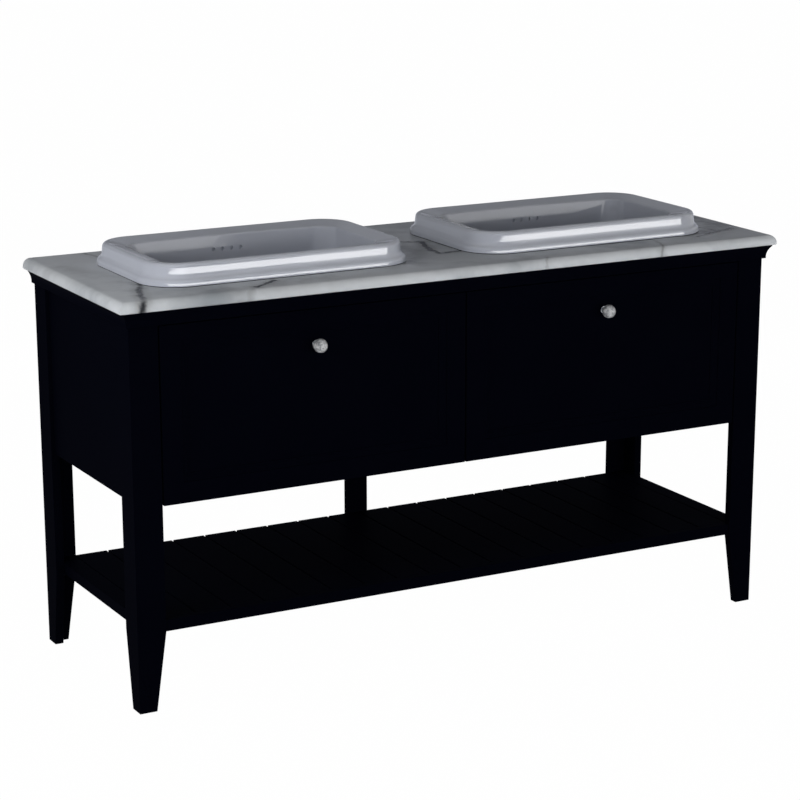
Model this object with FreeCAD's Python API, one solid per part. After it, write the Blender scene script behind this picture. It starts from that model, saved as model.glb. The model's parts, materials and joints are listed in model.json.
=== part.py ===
import FreeCAD, Part
import math
import os

# Double vanity unit: lacquered cabinet on tapered legs, marble worktop, two inset basins, two drawers.
# Millimetres, +Z up, +X to the right, -Y to the front. The floor is z = 0, and the origin lies under
# the middle of the whole object's box.

V = FreeCAD.Vector
UP = V(0, 0, 1)
RIGHT = V(1, 0, 0)
REARWARD = V(0, 1, 0)

# Worktop
TOP_WIDTH = 1500.0
TOP_THICKNESS = 22.0
TOP_UNDERSIDE = 798.0
SIDE_OVERHANG = 23.0
FRONT_OVERHANG = 19.0
TOP_EDGE_RADIUS = 16.0
TOP_ARRIS_RADIUS = 4.0

# Cabinet boards
BODY_DEPTH = 498.0
BOARD = 18.0
LEG_WIDTH = 60.0
FOOT_WIDTH = 36.5
POST_WIDTH = 48.0
SIDE_PANEL_THICKNESS = 10.0
BOTTOM_THICKNESS = 12.0
BOTTOM_RISE = 6.0
FRONT_RAIL_DEPTH = 40.0
REAR_TOP_RAIL_HEIGHT = 100.0
REAR_BOTTOM_RAIL_HEIGHT = 70.0
RUNNER_RAIL_HEIGHT = 70.0
FIXING_FROM_END = 117.0
FIXING_HOLE_RADIUS = 4.25

# Cornice under the worktop
CORNICE_HEIGHT = 29.0
CORNICE_FOOT = 6.0
CORNICE_REACH = 15.0
CORNICE_FILLET = 3.0
CORNICE_LIP = 2.0

# Slatted shelf
SHELF_TOP = 183.5
SHELF_HEIGHT = 23.5
SLAT_THICKNESS = 10.0
SLAT_COUNT = 18
SLAT_GAP = 4.0
SHELF_SIDE_RAIL = 38.0
SHELF_LEDGE = 15.0
SHELF_SETBACK = 3.0

# Drawer fronts
FRONT_HEIGHT = 352.0
FRONT_THICKNESS = 22.0
FRONT_GAP = 3.0
STILE = 42.0
TOP_RAIL = 32.0
PANEL_SINK = 8.0
MOULD_WIDTH = 16.0
MOULD_QUIRK = 2.0
MOULD_FLAT = 4.0
MOULD_STEP = 1.5

# Knobs
KNOB_RADIUS = 14.0
KNOB_STANDOFF = 20.0
KNOB_DROP = 71.0
ROSE_RADIUS = 8.0
ROSE_THICKNESS = 2.5
NECK_RADIUS = 4.5
COLLAR_RADIUS = 6.0
COLLAR_LENGTH = 2.0

# Drawer boxes
BOX_REAR_GAP = 38.0
BOX_HEIGHT = 180.0
BOX_BOARD = 15.0
BOX_LIFT = 8.0
BOX_BOTTOM_THICKNESS = 10.0
GROOVE_RISE = 12.0
GROOVE_DEPTH = 6.0
GROOVE_PLAY = 0.2
NOTCH_WIDTH = 180.0
NOTCH_REACH = 75.0
DIVIDER_SETBACK = 2.0

# Telescopic runners
RUNNER_END_GAP = 16.0
RUNNER_HEIGHT = 45.0
RUNNER_WIDTH = 12.7
RUNNER_SHEET = 1.5
RUNNER_PLAY = 0.3
RUNNER_RISE = 60.0
RUNNER_SETBACK = 4.0
RUNNER_CABINET_FLANGE = 9.0

# Basins, heights counted from the worktop's upper face
BASIN_SPREAD = 357.0
BASIN_SETBACK = 82.0
BASIN_WIDTH = 578.0
BASIN_DEPTH = 362.0
BASIN_CORNER = 85.0
FOOT_NOSE = 11.0
FOOT_NOSE_RISE = 5.0
FOOT_COVE = 10.0
FOOT_TURN = math.radians(58)
RIM_LEAN = math.radians(8)
RIM_HEIGHT = 44.0
RIM_ROLL = 9.0
RIM_FALL = math.radians(8.5)
RIM_LIP = 9.0
WALL_INSET = 53.7
WALL_SLOPE = 0.25
BOWL_FLOOR = -84.0
BOWL_RADIUS = 55.0
BOWL_CORNER = 75.0
BOWL_FLAT = 6.0
CERAMIC = 11.0
CUTOUT_INSET = 30.0
DRAIN_BORE = 22.5
DRAIN_BOSS = 40.0
DRAIN_BOSS_DEPTH = 36.0
OVERFLOW_COUNT = 4
OVERFLOW_PITCH = 20.0
OVERFLOW_RADIUS = 4.0
OVERFLOW_LEVEL = 8.0
DUCT_WALL = 5.0
DUCT_CHANNEL = 7.0
DUCT_ROOM = 2.0
DUCT_PASSAGE_HEIGHT = 12.0
DUCT_PASSAGE_WIDTH = 26.0

# Basin wastes
FLANGE_RADIUS = 32.0
FLANGE_THICKNESS = 2.5
FLANGE_PLAY = 0.3
SHANK_RADIUS = 20.6
TAIL_RADIUS = 20.95
TAIL_LENGTH = 52.0
WASTE_BORE = 18.0
WASTE_SLOT = 13.0
SEAL_THICKNESS = 3.0
SEAL_RADIUS = 31.0
NUT_THICKNESS = 9.0
NUT_ACROSS_FLATS = 56.0
NUT_BORE = 21.2
GUIDE_RADIUS = 8.0
GUIDE_HEIGHT = 6.0
GUIDE_BAR = 4.0
STEM_RADIUS = 4.0
STEM_PLAY = 0.3
STEM_TAIL = 6.0
PLUG_RADIUS = 30.0
PLUG_EDGE = 2.2
PLUG_CROWN = 6.2
PLUG_GAP = 0.3

# Planes worked out from the sizes above
half_top = TOP_WIDTH / 2
half_body = half_top - SIDE_OVERHANG
leg_inner = half_body - LEG_WIDTH
board_inner = half_body - BOARD
knob_reach = KNOB_STANDOFF + KNOB_RADIUS - PANEL_SINK
back = (BODY_DEPTH + max(knob_reach, FRONT_OVERHANG)) / 2
front = back - BODY_DEPTH
middle_y = (front + back) / 2
top_front = front - FRONT_OVERHANG
top_face = TOP_UNDERSIDE + TOP_THICKNESS
cornice_base = TOP_UNDERSIDE - CORNICE_HEIGHT
shelf_base = SHELF_TOP - SHELF_HEIGHT
slat_base = SHELF_TOP - SLAT_THICKNESS
slat_span = board_inner - SHELF_SIDE_RAIL
front_high = cornice_base - FRONT_GAP
front_low = front_high - FRONT_HEIGHT
front_rear = front + FRONT_THICKNESS
front_outer = -(leg_inner - FRONT_GAP)
front_inner = -FRONT_GAP / 2
bottom_low = front_low + BOTTOM_RISE
bottom_high = bottom_low + BOTTOM_THICKNESS
carcass_front = front_rear + DIVIDER_SETBACK
carcass_back = back - BOARD
divider_face = -BOARD / 2
box_low = bottom_high + BOX_LIFT
box_high = box_low + BOX_HEIGHT
box_back = carcass_back - BOX_REAR_GAP
box_outer = -leg_inner + RUNNER_WIDTH
box_inner = divider_face - RUNNER_WIDTH
tray_low = box_low + GROOVE_RISE
tray_high = tray_low + BOX_BOTTOM_THICKNESS
runner_axis = box_low + RUNNER_RISE
runner_front = front_rear + RUNNER_SETBACK
runner_length = box_back - RUNNER_END_GAP - runner_front
basin_y = top_front + BASIN_SETBACK + BASIN_DEPTH / 2
half_basin_x = BASIN_WIDTH / 2
half_basin_y = BASIN_DEPTH / 2
boss_base = BOWL_FLOOR - DRAIN_BOSS_DEPTH
seal_base = boss_base - SEAL_THICKNESS
nut_base = seal_base - NUT_THICKNESS
tail_base = nut_base - TAIL_LENGTH
passage_low = boss_base + DUCT_WALL + DUCT_ROOM
passage_high = passage_low + DUCT_PASSAGE_HEIGHT


def box(x0, x1, y0, y1, z0, z1):
    """A board between two x, two y and two z planes."""
    return Part.makeBox(x1 - x0, y1 - y0, z1 - z0, V(x0, y0, z0))


def outline(start, *steps):
    """A closed wire: a step is the next corner, or (a point on the arc, the arc's end)."""
    edges = []
    here = start
    for step in steps:
        if isinstance(step, tuple):
            through, end = step
            edges.append(Part.Arc(here, through, end).toShape())
        else:
            end = step
            edges.append(Part.makeLine(here, end))
        here = end
    if not here.isEqual(start, 1e-6):
        edges.append(Part.makeLine(here, start))
    return Part.Wire(edges)


def prism(wire, direction):
    """The closed wire's face, pushed along direction."""
    return Part.Face(wire).extrude(direction)


def turned(wire, axis_point, axis):
    """The closed half-section turned once round the axis."""
    return Part.Face(wire).revolve(axis_point, axis, 360)


def disc(radius, z0, z1):
    """An upright cylinder on the drain's axis."""
    return Part.makeCylinder(radius, z1 - z0, V(0, 0, z0))


def rounded_rectangle(half_x, half_y, radius, z):
    """A level wire of four straights and four corner arcs."""
    edges = []
    corners = [(-1, -1, 180), (1, -1, 270), (1, 1, 0), (-1, 1, 90)]
    arcs = []
    for side_x, side_y, start in corners:
        centre = V(side_x * (half_x - radius), side_y * (half_y - radius), z)
        arcs.append(Part.makeCircle(radius, centre, UP, start, start + 90))
    for i, arc in enumerate(arcs):
        following = arcs[(i + 1) % len(arcs)]
        end = arc.valueAt(arc.LastParameter)
        edges.append(arc)
        edges.append(Part.makeLine(end, following.valueAt(following.FirstParameter)))
    return Part.Wire(edges)


def corner_leg():
    """Left front leg: two boards joined at the outer corner, tapered on their inner edges below the shelf."""
    def board(along, thickness):
        at = V(-half_body, front, 0)
        corners = [(0, 0), (FOOT_WIDTH, 0), (LEG_WIDTH, shelf_base), (LEG_WIDTH, TOP_UNDERSIDE),
                   (0, TOP_UNDERSIDE)]
        points = [at + along * u + UP * z for u, z in corners]
        return prism(outline(*points), thickness * BOARD)

    return board(RIGHT, REARWARD).fuse(board(REARWARD, RIGHT)).removeSplitter()


def cornice_section(place):
    """The cornice's closed section; place gives the point at a reach and a height."""
    low = cornice_base + CORNICE_FILLET
    high = TOP_UNDERSIDE - CORNICE_LIP
    run = CORNICE_REACH - CORNICE_FOOT
    rise = high - low
    radius = (run ** 2 + rise ** 2) / (2 * run)
    sweep = math.asin(rise / radius)
    through = place(CORNICE_FOOT + radius * (1 - math.cos(sweep / 2)), low + radius * math.sin(sweep / 2))
    return outline(place(0, cornice_base), place(CORNICE_FOOT, cornice_base), place(CORNICE_FOOT, low),
                   (through, place(CORNICE_REACH, high)), place(CORNICE_REACH, TOP_UNDERSIDE),
                   place(0, TOP_UNDERSIDE))


def front_cornice():
    """Front length of the cornice, mitred at both ends."""
    end = half_body + CORNICE_REACH
    section = cornice_section(lambda reach, z: V(-end, front - reach, z))
    plan = outline(V(-half_body, front, 0), V(-end, front - CORNICE_REACH, 0),
                   V(end, front - CORNICE_REACH, 0), V(half_body, front, 0))
    return prism(section, RIGHT * 2 * end).common(prism(plan, UP * top_face))


def side_cornice():
    """Left length of the cornice, mitred at the front and square at the wall."""
    end = front - CORNICE_REACH
    section = cornice_section(lambda reach, z: V(-half_body - reach, end, z))
    plan = outline(V(-half_body, front, 0), V(-half_body - CORNICE_REACH, end, 0),
                   V(-half_body - CORNICE_REACH, back, 0), V(-half_body, back, 0))
    return prism(section, REARWARD * (back - end)).common(prism(plan, UP * top_face))


def slab_section(place, far):
    """A slab's section, rounded near edge and square far one; place gives a point in from the edge."""
    corner = 1 - math.sqrt(0.5)
    high = TOP_EDGE_RADIUS * corner
    low = TOP_ARRIS_RADIUS * corner
    return outline(place(far, top_face), place(TOP_EDGE_RADIUS, top_face),
                   (place(high, top_face - high), place(0, top_face - TOP_EDGE_RADIUS)),
                   place(0, TOP_UNDERSIDE + TOP_ARRIS_RADIUS),
                   (place(low, TOP_UNDERSIDE + low), place(TOP_ARRIS_RADIUS, TOP_UNDERSIDE)),
                   place(far, TOP_UNDERSIDE))


def worktop():
    """Marble slab, rounded on the front and both ends, with a cut-out under each basin."""
    depth = back - top_front
    slab = prism(slab_section(lambda u, z: V(-half_top, top_front + u, z), depth), RIGHT * TOP_WIDTH)
    for side in (-1, 1):
        end = slab_section(lambda u, z: V(side * (half_top - u), top_front, z), TOP_WIDTH)
        slab = slab.common(prism(end, REARWARD * depth))
    opening = rounded_rectangle(half_basin_x - CUTOUT_INSET, half_basin_y - CUTOUT_INSET,
                                BASIN_CORNER - CUTOUT_INSET, TOP_UNDERSIDE)
    for side in (-1, 1):
        hole = prism(opening, UP * TOP_THICKNESS)
        hole.translate(V(side * BASIN_SPREAD, basin_y, 0))
        slab = slab.cut(hole)
    return slab


def rear_top_rail():
    """Rail across the back, with the two wall-fixing holes."""
    low = TOP_UNDERSIDE - REAR_TOP_RAIL_HEIGHT
    rail = box(-leg_inner, leg_inner, carcass_back, back, low, TOP_UNDERSIDE)
    for side in (-1, 1):
        at = V(side * (leg_inner - FIXING_FROM_END), carcass_back, (low + TOP_UNDERSIDE) / 2)
        rail = rail.cut(Part.makeCylinder(FIXING_HOLE_RADIUS, BOARD, at, REARWARD))
    return rail


def shelf_front_rail():
    """Front rail of the shelf: a lip in front of the slats and a ledge under them."""
    lip_front = front + SHELF_SETBACK
    slat_front = front + BOARD
    ledge = slat_front + SHELF_LEDGE
    corners = [(lip_front, shelf_base), (ledge, shelf_base), (ledge, slat_base), (slat_front, slat_base),
               (slat_front, SHELF_TOP), (lip_front, SHELF_TOP)]
    section = outline(*[V(-leg_inner, y, z) for y, z in corners])
    return prism(section, RIGHT * 2 * leg_inner)


def shelf_slats():
    """The row of equal slats between the shelf's side rails."""
    pitch = 2 * slat_span / SLAT_COUNT
    slats = []
    for i in range(SLAT_COUNT):
        left = -slat_span + i * pitch + SLAT_GAP / 2
        slats.append(box(left, left + pitch - SLAT_GAP, front + BOARD, carcass_back, slat_base, SHELF_TOP))
    return Part.makeCompound(slats)


def panel_moulding(x0, x1, z0, z1):
    """Mitred moulding round the inside of a drawer front's frame, lying on the sunk panel."""
    floor = front + PANEL_SINK
    ledge = floor - MOULD_STEP
    shoulder = front + MOULD_QUIRK
    run = MOULD_WIDTH - MOULD_FLAT
    fall = ledge - shoulder
    radius = (run ** 2 + fall ** 2) / (2 * fall)
    half = math.asin(run / radius) / 2
    sticks = []
    sides = [(V(x0, 0, z0), V(x1, 0, z0), UP), (V(x1, 0, z0), V(x1, 0, z1), -RIGHT),
             (V(x1, 0, z1), V(x0, 0, z1), -UP), (V(x0, 0, z1), V(x0, 0, z0), RIGHT)]
    for start, end, inward in sides:
        along = end - start

        def at(u, y):
            return start + inward * u + REARWARD * y

        crown = at(radius * math.sin(half), shoulder + radius * (1 - math.cos(half)))
        section = outline(at(0, floor), at(0, shoulder), (crown, at(run, ledge)), at(MOULD_WIDTH, ledge),
                          at(MOULD_WIDTH, floor))
        direction = along * (1 / along.Length)
        plan = outline(start, end, end + inward * MOULD_WIDTH - direction * MOULD_WIDTH,
                       start + inward * MOULD_WIDTH + direction * MOULD_WIDTH)
        mitre = prism(plan, REARWARD * (floor - front))
        mitre.translate(REARWARD * front)
        sticks.append(prism(section, along).common(mitre))
    return sticks[0].fuse(sticks[1:])


def drawer_front():
    """Left drawer front: a frame, a moulded inner edge and a sunk panel, all of one board."""
    board = box(front_outer, front_inner, front, front_rear, front_low, front_high)
    x0 = front_outer + STILE
    x1 = front_inner - STILE
    z0 = front_low + STILE
    z1 = front_high - TOP_RAIL
    sunk = board.cut(box(x0, x1, front, front + PANEL_SINK, z0, z1))
    return sunk.fuse(panel_moulding(x0, x1, z0, z1)).removeSplitter()


def knob_parts():
    """Left drawer's ball knob, flat where it meets its neck, and the turned neck with its rose."""
    x = (front_outer + front_inner) / 2
    z = front_high - KNOB_DROP
    face = front + PANEL_SINK
    centre = V(x, face - KNOB_STANDOFF, z)
    seat = math.sqrt(KNOB_RADIUS ** 2 - COLLAR_RADIUS ** 2)
    flat_y = centre.y + seat

    def at(radius, y):
        return V(x + radius, y, z)

    ball = outline(at(0, flat_y), at(COLLAR_RADIUS, flat_y),
                   (at(KNOB_RADIUS, centre.y), at(0, centre.y - KNOB_RADIUS)))
    neck = outline(at(0, face), at(ROSE_RADIUS, face), at(ROSE_RADIUS, face - ROSE_THICKNESS),
                   at(NECK_RADIUS, face - ROSE_THICKNESS), at(NECK_RADIUS, flat_y + COLLAR_LENGTH),
                   at(COLLAR_RADIUS, flat_y + COLLAR_LENGTH), at(COLLAR_RADIUS, flat_y), at(0, flat_y))
    return turned(ball, centre, REARWARD), turned(neck, centre, REARWARD)


def drawer_side(outer_face, toward):
    """A side of the left drawer box with the groove for its bottom; toward is +1 or -1, into the box."""
    inner_face = outer_face + toward * BOX_BOARD
    x0, x1 = sorted((outer_face, inner_face))
    g0, g1 = sorted((inner_face, inner_face - toward * GROOVE_DEPTH))
    side = box(x0, x1, front_rear, box_back, box_low, box_high)
    groove = box(g0, g1, front_rear, box_back, tray_low - GROOVE_PLAY, tray_high + GROOVE_PLAY)
    return side.cut(groove)


def drawer_tray():
    """Bottom and stepped back of the left drawer box, both cut round the trap under the drain."""
    inside_0 = box_outer + BOX_BOARD
    inside_1 = box_inner - BOX_BOARD
    notch_0 = -BASIN_SPREAD - NOTCH_WIDTH / 2
    notch_1 = -BASIN_SPREAD + NOTCH_WIDTH / 2
    notch_front = basin_y - NOTCH_REACH
    reach = GROOVE_DEPTH - GROOVE_PLAY
    tray = box(inside_0 - reach, inside_1 + reach, front_rear, box_back, tray_low, tray_high)
    tray = tray.cut(box(notch_0, notch_1, notch_front, box_back, tray_low, tray_high))
    plan = [(inside_0, box_back), (notch_0, box_back), (notch_0, notch_front), (notch_1, notch_front),
            (notch_1, box_back), (inside_1, box_back), (inside_1, box_back - BOX_BOARD),
            (notch_1 + BOX_BOARD, box_back - BOX_BOARD), (notch_1 + BOX_BOARD, notch_front - BOX_BOARD),
            (notch_0 - BOX_BOARD, notch_front - BOX_BOARD), (notch_0 - BOX_BOARD, box_back - BOX_BOARD),
            (inside_0, box_back - BOX_BOARD)]
    rear = prism(outline(*[V(x, y, tray_high) for x, y in plan]), UP * (box_high - tray_high))
    return tray, rear


def runner_members(wall, toward):
    """The three nested channels of one runner on a wall at x = wall; toward is +1 or -1, to the drawer."""
    step = RUNNER_SHEET + RUNNER_PLAY

    def channel(web_near, web_far, flange_end, half_height):
        inner = half_height - RUNNER_SHEET
        corners = [(web_near, -half_height), (flange_end, -half_height), (flange_end, -inner),
                   (web_far, -inner), (web_far, inner), (flange_end, inner), (flange_end, half_height),
                   (web_near, half_height)]
        points = [V(wall + toward * s, runner_front, runner_axis + z) for s, z in corners]
        return prism(outline(*points), REARWARD * runner_length)

    half = RUNNER_HEIGHT / 2
    cabinet_member = channel(0, RUNNER_SHEET, RUNNER_CABINET_FLANGE, half)
    middle_member = channel(step, step + RUNNER_SHEET, RUNNER_CABINET_FLANGE + RUNNER_SHEET, half - step)
    drawer_member = channel(RUNNER_WIDTH, RUNNER_WIDTH - RUNNER_SHEET, 2 * step, half - 2 * step)
    return cabinet_member, middle_member, drawer_member


def basin_outline(inset, corner, z):
    """Level rounded outline at an inset from the basin's foot."""
    return rounded_rectangle(half_basin_x - inset, half_basin_y - inset, corner, z)


def rim_points():
    """Insets from the foot and heights along the rim, from under its nose over the roll to its fall."""
    def on_nose(angle):
        return FOOT_NOSE * (1 - math.cos(angle)), FOOT_NOSE_RISE + FOOT_NOSE * math.sin(angle)

    turn = on_nose(FOOT_TURN)
    cove_inset = turn[0] - FOOT_COVE * math.cos(FOOT_TURN)
    cove_z = turn[1] + FOOT_COVE * math.sin(FOOT_TURN)

    def on_cove(angle):
        return cove_inset + FOOT_COVE * math.cos(angle), cove_z - FOOT_COVE * math.sin(angle)

    wall_foot = on_cove(RIM_LEAN)
    roll_z = RIM_HEIGHT - RIM_ROLL
    roll_inset = wall_foot[0] + (roll_z - wall_foot[1]) * math.tan(RIM_LEAN) + RIM_ROLL / math.cos(RIM_LEAN)

    def on_roll(angle):
        return roll_inset - RIM_ROLL * math.cos(angle), roll_z + RIM_ROLL * math.sin(angle)

    tuck = on_nose(-math.asin(FOOT_NOSE_RISE / FOOT_NOSE))
    return (tuck, on_nose(0), turn, on_cove((FOOT_TURN + RIM_LEAN) / 2), wall_foot, on_roll(RIM_LEAN),
            on_roll(math.pi / 2), on_roll(math.pi / 2 + RIM_FALL))


def rim_section(place):
    """The rim's closed section; place gives the point at an inset from the foot and a height."""
    points = rim_points()
    tuck, nose, turn, cove, wall_foot, roll_foot, crest, fall_start = [place(*point) for point in points]
    return outline(tuck, (nose, turn), (cove, wall_foot), roll_foot, (crest, fall_start),
                   place(points[-1][0], 0))


def rim_body():
    """The rim's section pushed along the straights and turned round the corners, filled in between."""
    corner = V(half_basin_x - BASIN_CORNER, half_basin_y - BASIN_CORNER, 0)
    behind = Part.Face(rim_section(lambda inset, z: V(corner.x, half_basin_y - inset, z)))
    beside = Part.Face(rim_section(lambda inset, z: V(half_basin_x - inset, corner.y, z)))
    quarter = behind.revolve(corner, UP, -90)
    quarter = quarter.fuse([behind.extrude(RIGHT * -corner.x), beside.extrude(REARWARD * -corner.y)])
    half = quarter.fuse(quarter.mirror(V(0, 0, 0), RIGHT))
    ring = half.fuse(half.mirror(V(0, 0, 0), REARWARD))
    inset, z = rim_points()[-1]
    fill = prism(basin_outline(inset, BASIN_CORNER - inset, 0), UP * z)
    return ring.fuse(fill).removeSplitter()


def bowl_section(inset, z, offset):
    """Level outline of the bowl at an inset from the foot, its corners pushed out by offset."""
    return basin_outline(inset, min(BOWL_CORNER + offset, half_basin_y - inset - BOWL_FLAT), z)


def wall_inset(z):
    """How far the bowl's sloping wall lies in from the foot at a height."""
    return WALL_INSET + WALL_SLOPE * (RIM_HEIGHT - z)


def lip_level():
    """Height at which the rim's fall meets the bowl's wall."""
    inset, z = rim_points()[-1]
    fall = math.tan(RIM_FALL)
    return z - (wall_inset(z) - inset) * fall / (1 - WALL_SLOPE * fall)


def rim_fall():
    """The room over the rim's fall, from the roll in and down to the lip."""
    inset, z = rim_points()[-1]
    lip = lip_level()
    edge = bowl_section(wall_inset(lip), lip, 0)
    return Part.makeLoft([edge, basin_outline(inset, BASIN_CORNER - inset, z)], True, True)


def bowl_form(offset, start):
    """The bowl's sloping wall and rounded floor as one solid, pushed out by offset, from a height down."""
    lean = math.atan(WALL_SLOPE)
    bend_z = BOWL_FLOOR + BOWL_RADIUS
    bend_inset = wall_inset(bend_z) + BOWL_RADIUS / math.cos(lean)
    radius = BOWL_RADIUS + offset

    def bend(share):
        angle = lean + (math.pi / 2 - lean) * share
        return bowl_section(bend_inset - radius * math.cos(angle), bend_z - radius * math.sin(angle), offset)

    top = bowl_section(wall_inset(start) - offset / math.cos(lean), start, offset)
    wall = Part.makeLoft([top, bend(0)], True, True)
    floor = Part.makeLoft([bend(i / 4) for i in range(5)], True, False)
    return wall.fuse(floor)


def overflow_duct():
    """Solid of the overflow duct behind and under the bowl, and the channel inside it."""
    half_channel = (OVERFLOW_COUNT - 1) * OVERFLOW_PITCH / 2 + OVERFLOW_RADIUS + DUCT_ROOM
    channel_top = OVERFLOW_LEVEL + OVERFLOW_RADIUS + DUCT_ROOM
    wall_y = half_basin_y - wall_inset(channel_top)
    channel_front = wall_y + DUCT_WALL
    channel_back = channel_front + DUCT_CHANNEL
    half_passage = DUCT_PASSAGE_WIDTH / 2
    duct = box(-half_channel - DUCT_WALL, half_channel + DUCT_WALL, wall_y, channel_back + DUCT_WALL,
               passage_low - DUCT_WALL, OVERFLOW_LEVEL)
    under = box(-half_passage - DUCT_WALL, half_passage + DUCT_WALL, 0, channel_back + DUCT_WALL,
                passage_low - DUCT_WALL, BOWL_FLOOR - CERAMIC / 2)
    channel = box(-half_channel, half_channel, channel_front, channel_back, passage_low, channel_top)
    passage = box(-half_passage, half_passage, 0, channel_back, passage_low, passage_high)
    holes = []
    for i in range(OVERFLOW_COUNT):
        x = (i - (OVERFLOW_COUNT - 1) / 2) * OVERFLOW_PITCH
        start = V(x, wall_y - OVERFLOW_PITCH, OVERFLOW_LEVEL)
        holes.append(Part.makeCylinder(OVERFLOW_RADIUS, channel_back - start.y, start, REARWARD))
    return duct.fuse(under), channel.fuse([passage] + holes)


def basin():
    """Basin about its drain's axis: nosed foot, cove, rolled rim, sloping bowl, drain and overflow."""
    duct, channel = overflow_duct()
    boss = disc(DRAIN_BOSS, boss_base, BOWL_FLOOR - CERAMIC / 2)
    lip = lip_level()
    body = rim_body().fuse([bowl_form(CERAMIC, lip - RIM_LIP), duct, boss])
    body = body.cut(rim_fall().fuse(bowl_form(0, lip)))
    at_lip = [edge for edge in body.Edges if max(abs(vertex.Z - lip) for vertex in edge.Vertexes) < 1e-4]
    body = body.makeFillet(RIM_LIP, at_lip)
    body = body.cut(disc(DRAIN_BORE, boss_base, BOWL_FLOOR))
    body = body.cut(disc(FLANGE_RADIUS + FLANGE_PLAY, BOWL_FLOOR - FLANGE_THICKNESS, BOWL_FLOOR))
    return body.cut(channel)


def waste():
    """Slotted waste about the drain's axis: flange, shank, tail and the cross bars that guide the plug."""
    flange_base = BOWL_FLOOR - FLANGE_THICKNESS
    corners = [(WASTE_BORE, BOWL_FLOOR), (FLANGE_RADIUS, BOWL_FLOOR), (FLANGE_RADIUS, flange_base),
               (SHANK_RADIUS, flange_base), (SHANK_RADIUS, nut_base), (TAIL_RADIUS, nut_base),
               (TAIL_RADIUS, tail_base), (WASTE_BORE, tail_base)]
    tube = turned(outline(*[V(r, 0, z) for r, z in corners]), V(0, 0, 0), UP)
    half_slot = WASTE_SLOT / 2
    slot = box(-half_slot, half_slot, -FLANGE_RADIUS, FLANGE_RADIUS, passage_low, passage_high)
    tube = tube.cut(slot)
    guide_low = boss_base - GUIDE_HEIGHT
    wall = (WASTE_BORE + SHANK_RADIUS) / 2
    bars = [box(-wall, wall, -GUIDE_BAR / 2, GUIDE_BAR / 2, guide_low, boss_base),
            box(-GUIDE_BAR / 2, GUIDE_BAR / 2, -wall, wall, guide_low, boss_base)]
    guide = disc(GUIDE_RADIUS, guide_low, boss_base).fuse(bars)
    return tube.fuse(guide).cut(disc(STEM_RADIUS + STEM_PLAY, guide_low, boss_base))


def waste_plug():
    """Domed push plug with its guide stem."""
    low = BOWL_FLOOR + PLUG_GAP
    stem_base = boss_base - GUIDE_HEIGHT - STEM_TAIL
    rise = PLUG_CROWN - PLUG_EDGE
    radius = (PLUG_RADIUS ** 2 + rise ** 2) / (2 * rise)
    half = math.asin(PLUG_RADIUS / radius) / 2
    crown = V(radius * math.sin(half), 0, low + PLUG_CROWN - radius * (1 - math.cos(half)))
    section = outline(V(0, 0, stem_base), V(STEM_RADIUS, 0, stem_base), V(STEM_RADIUS, 0, low),
                      V(PLUG_RADIUS, 0, low), V(PLUG_RADIUS, 0, low + PLUG_EDGE),
                      (crown, V(0, 0, low + PLUG_CROWN)))
    return turned(section, V(0, 0, 0), UP)


def waste_nut():
    """Hexagonal back nut."""
    corner = NUT_ACROSS_FLATS / math.sqrt(3)
    turns = [math.pi * i / 3 for i in range(6)]
    points = [V(corner * math.cos(turn), corner * math.sin(turn), nut_base) for turn in turns]
    return prism(outline(*points), UP * NUT_THICKNESS).cut(disc(NUT_BORE, nut_base, seal_base))


def waste_seal():
    """Rubber washer between the basin's drain boss and the back nut."""
    return disc(SEAL_RADIUS, seal_base, boss_base).cut(disc(NUT_BORE, seal_base, boss_base))


def at_left_drain(shape):
    """A piece made about the drain's axis and the worktop's face, put in the left basin's place."""
    shape.translate(V(-BASIN_SPREAD, basin_y, top_face))
    return shape


def left_pieces():
    """Every piece of the left half that has a mirrored twin, by name."""
    leg = corner_leg()
    tray, rear = drawer_tray()
    ball, neck = knob_parts()
    rail_low = runner_axis - RUNNER_RAIL_HEIGHT / 2
    pieces = {
        "front_leg": leg,
        "rear_leg": leg.mirror(V(0, middle_y, 0), REARWARD),
        "side_panel": box(-board_inner - SIDE_PANEL_THICKNESS, -board_inner, front + LEG_WIDTH,
                          back - LEG_WIDTH, bottom_low, TOP_UNDERSIDE),
        "runner_rail": box(-board_inner, -leg_inner, front + BOARD, carcass_back, rail_low,
                           rail_low + RUNNER_RAIL_HEIGHT),
        "cornice": side_cornice(),
        "shelf_rail": box(-board_inner, -slat_span, front + BOARD, carcass_back, shelf_base, SHELF_TOP),
        "basin": at_left_drain(basin()),
        "waste": at_left_drain(waste()),
        "waste_seal": at_left_drain(waste_seal()),
        "waste_nut": at_left_drain(waste_nut()),
        "waste_plug": at_left_drain(waste_plug()),
        "drawer_front": drawer_front(),
        "drawer_outer_side": drawer_side(box_outer, 1),
        "drawer_inner_side": drawer_side(box_inner, -1),
        "drawer_bottom": tray,
        "drawer_back": rear,
        "knob": ball,
        "knob_neck": neck,
    }
    for place, wall, toward in (("outer", -leg_inner, 1), ("inner", divider_face, -1)):
        members = runner_members(wall, toward)
        for name, member in zip(("cabinet", "middle", "drawer"), members):
            pieces[f"{place}_runner_{name}_member"] = member
    return pieces


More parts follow.
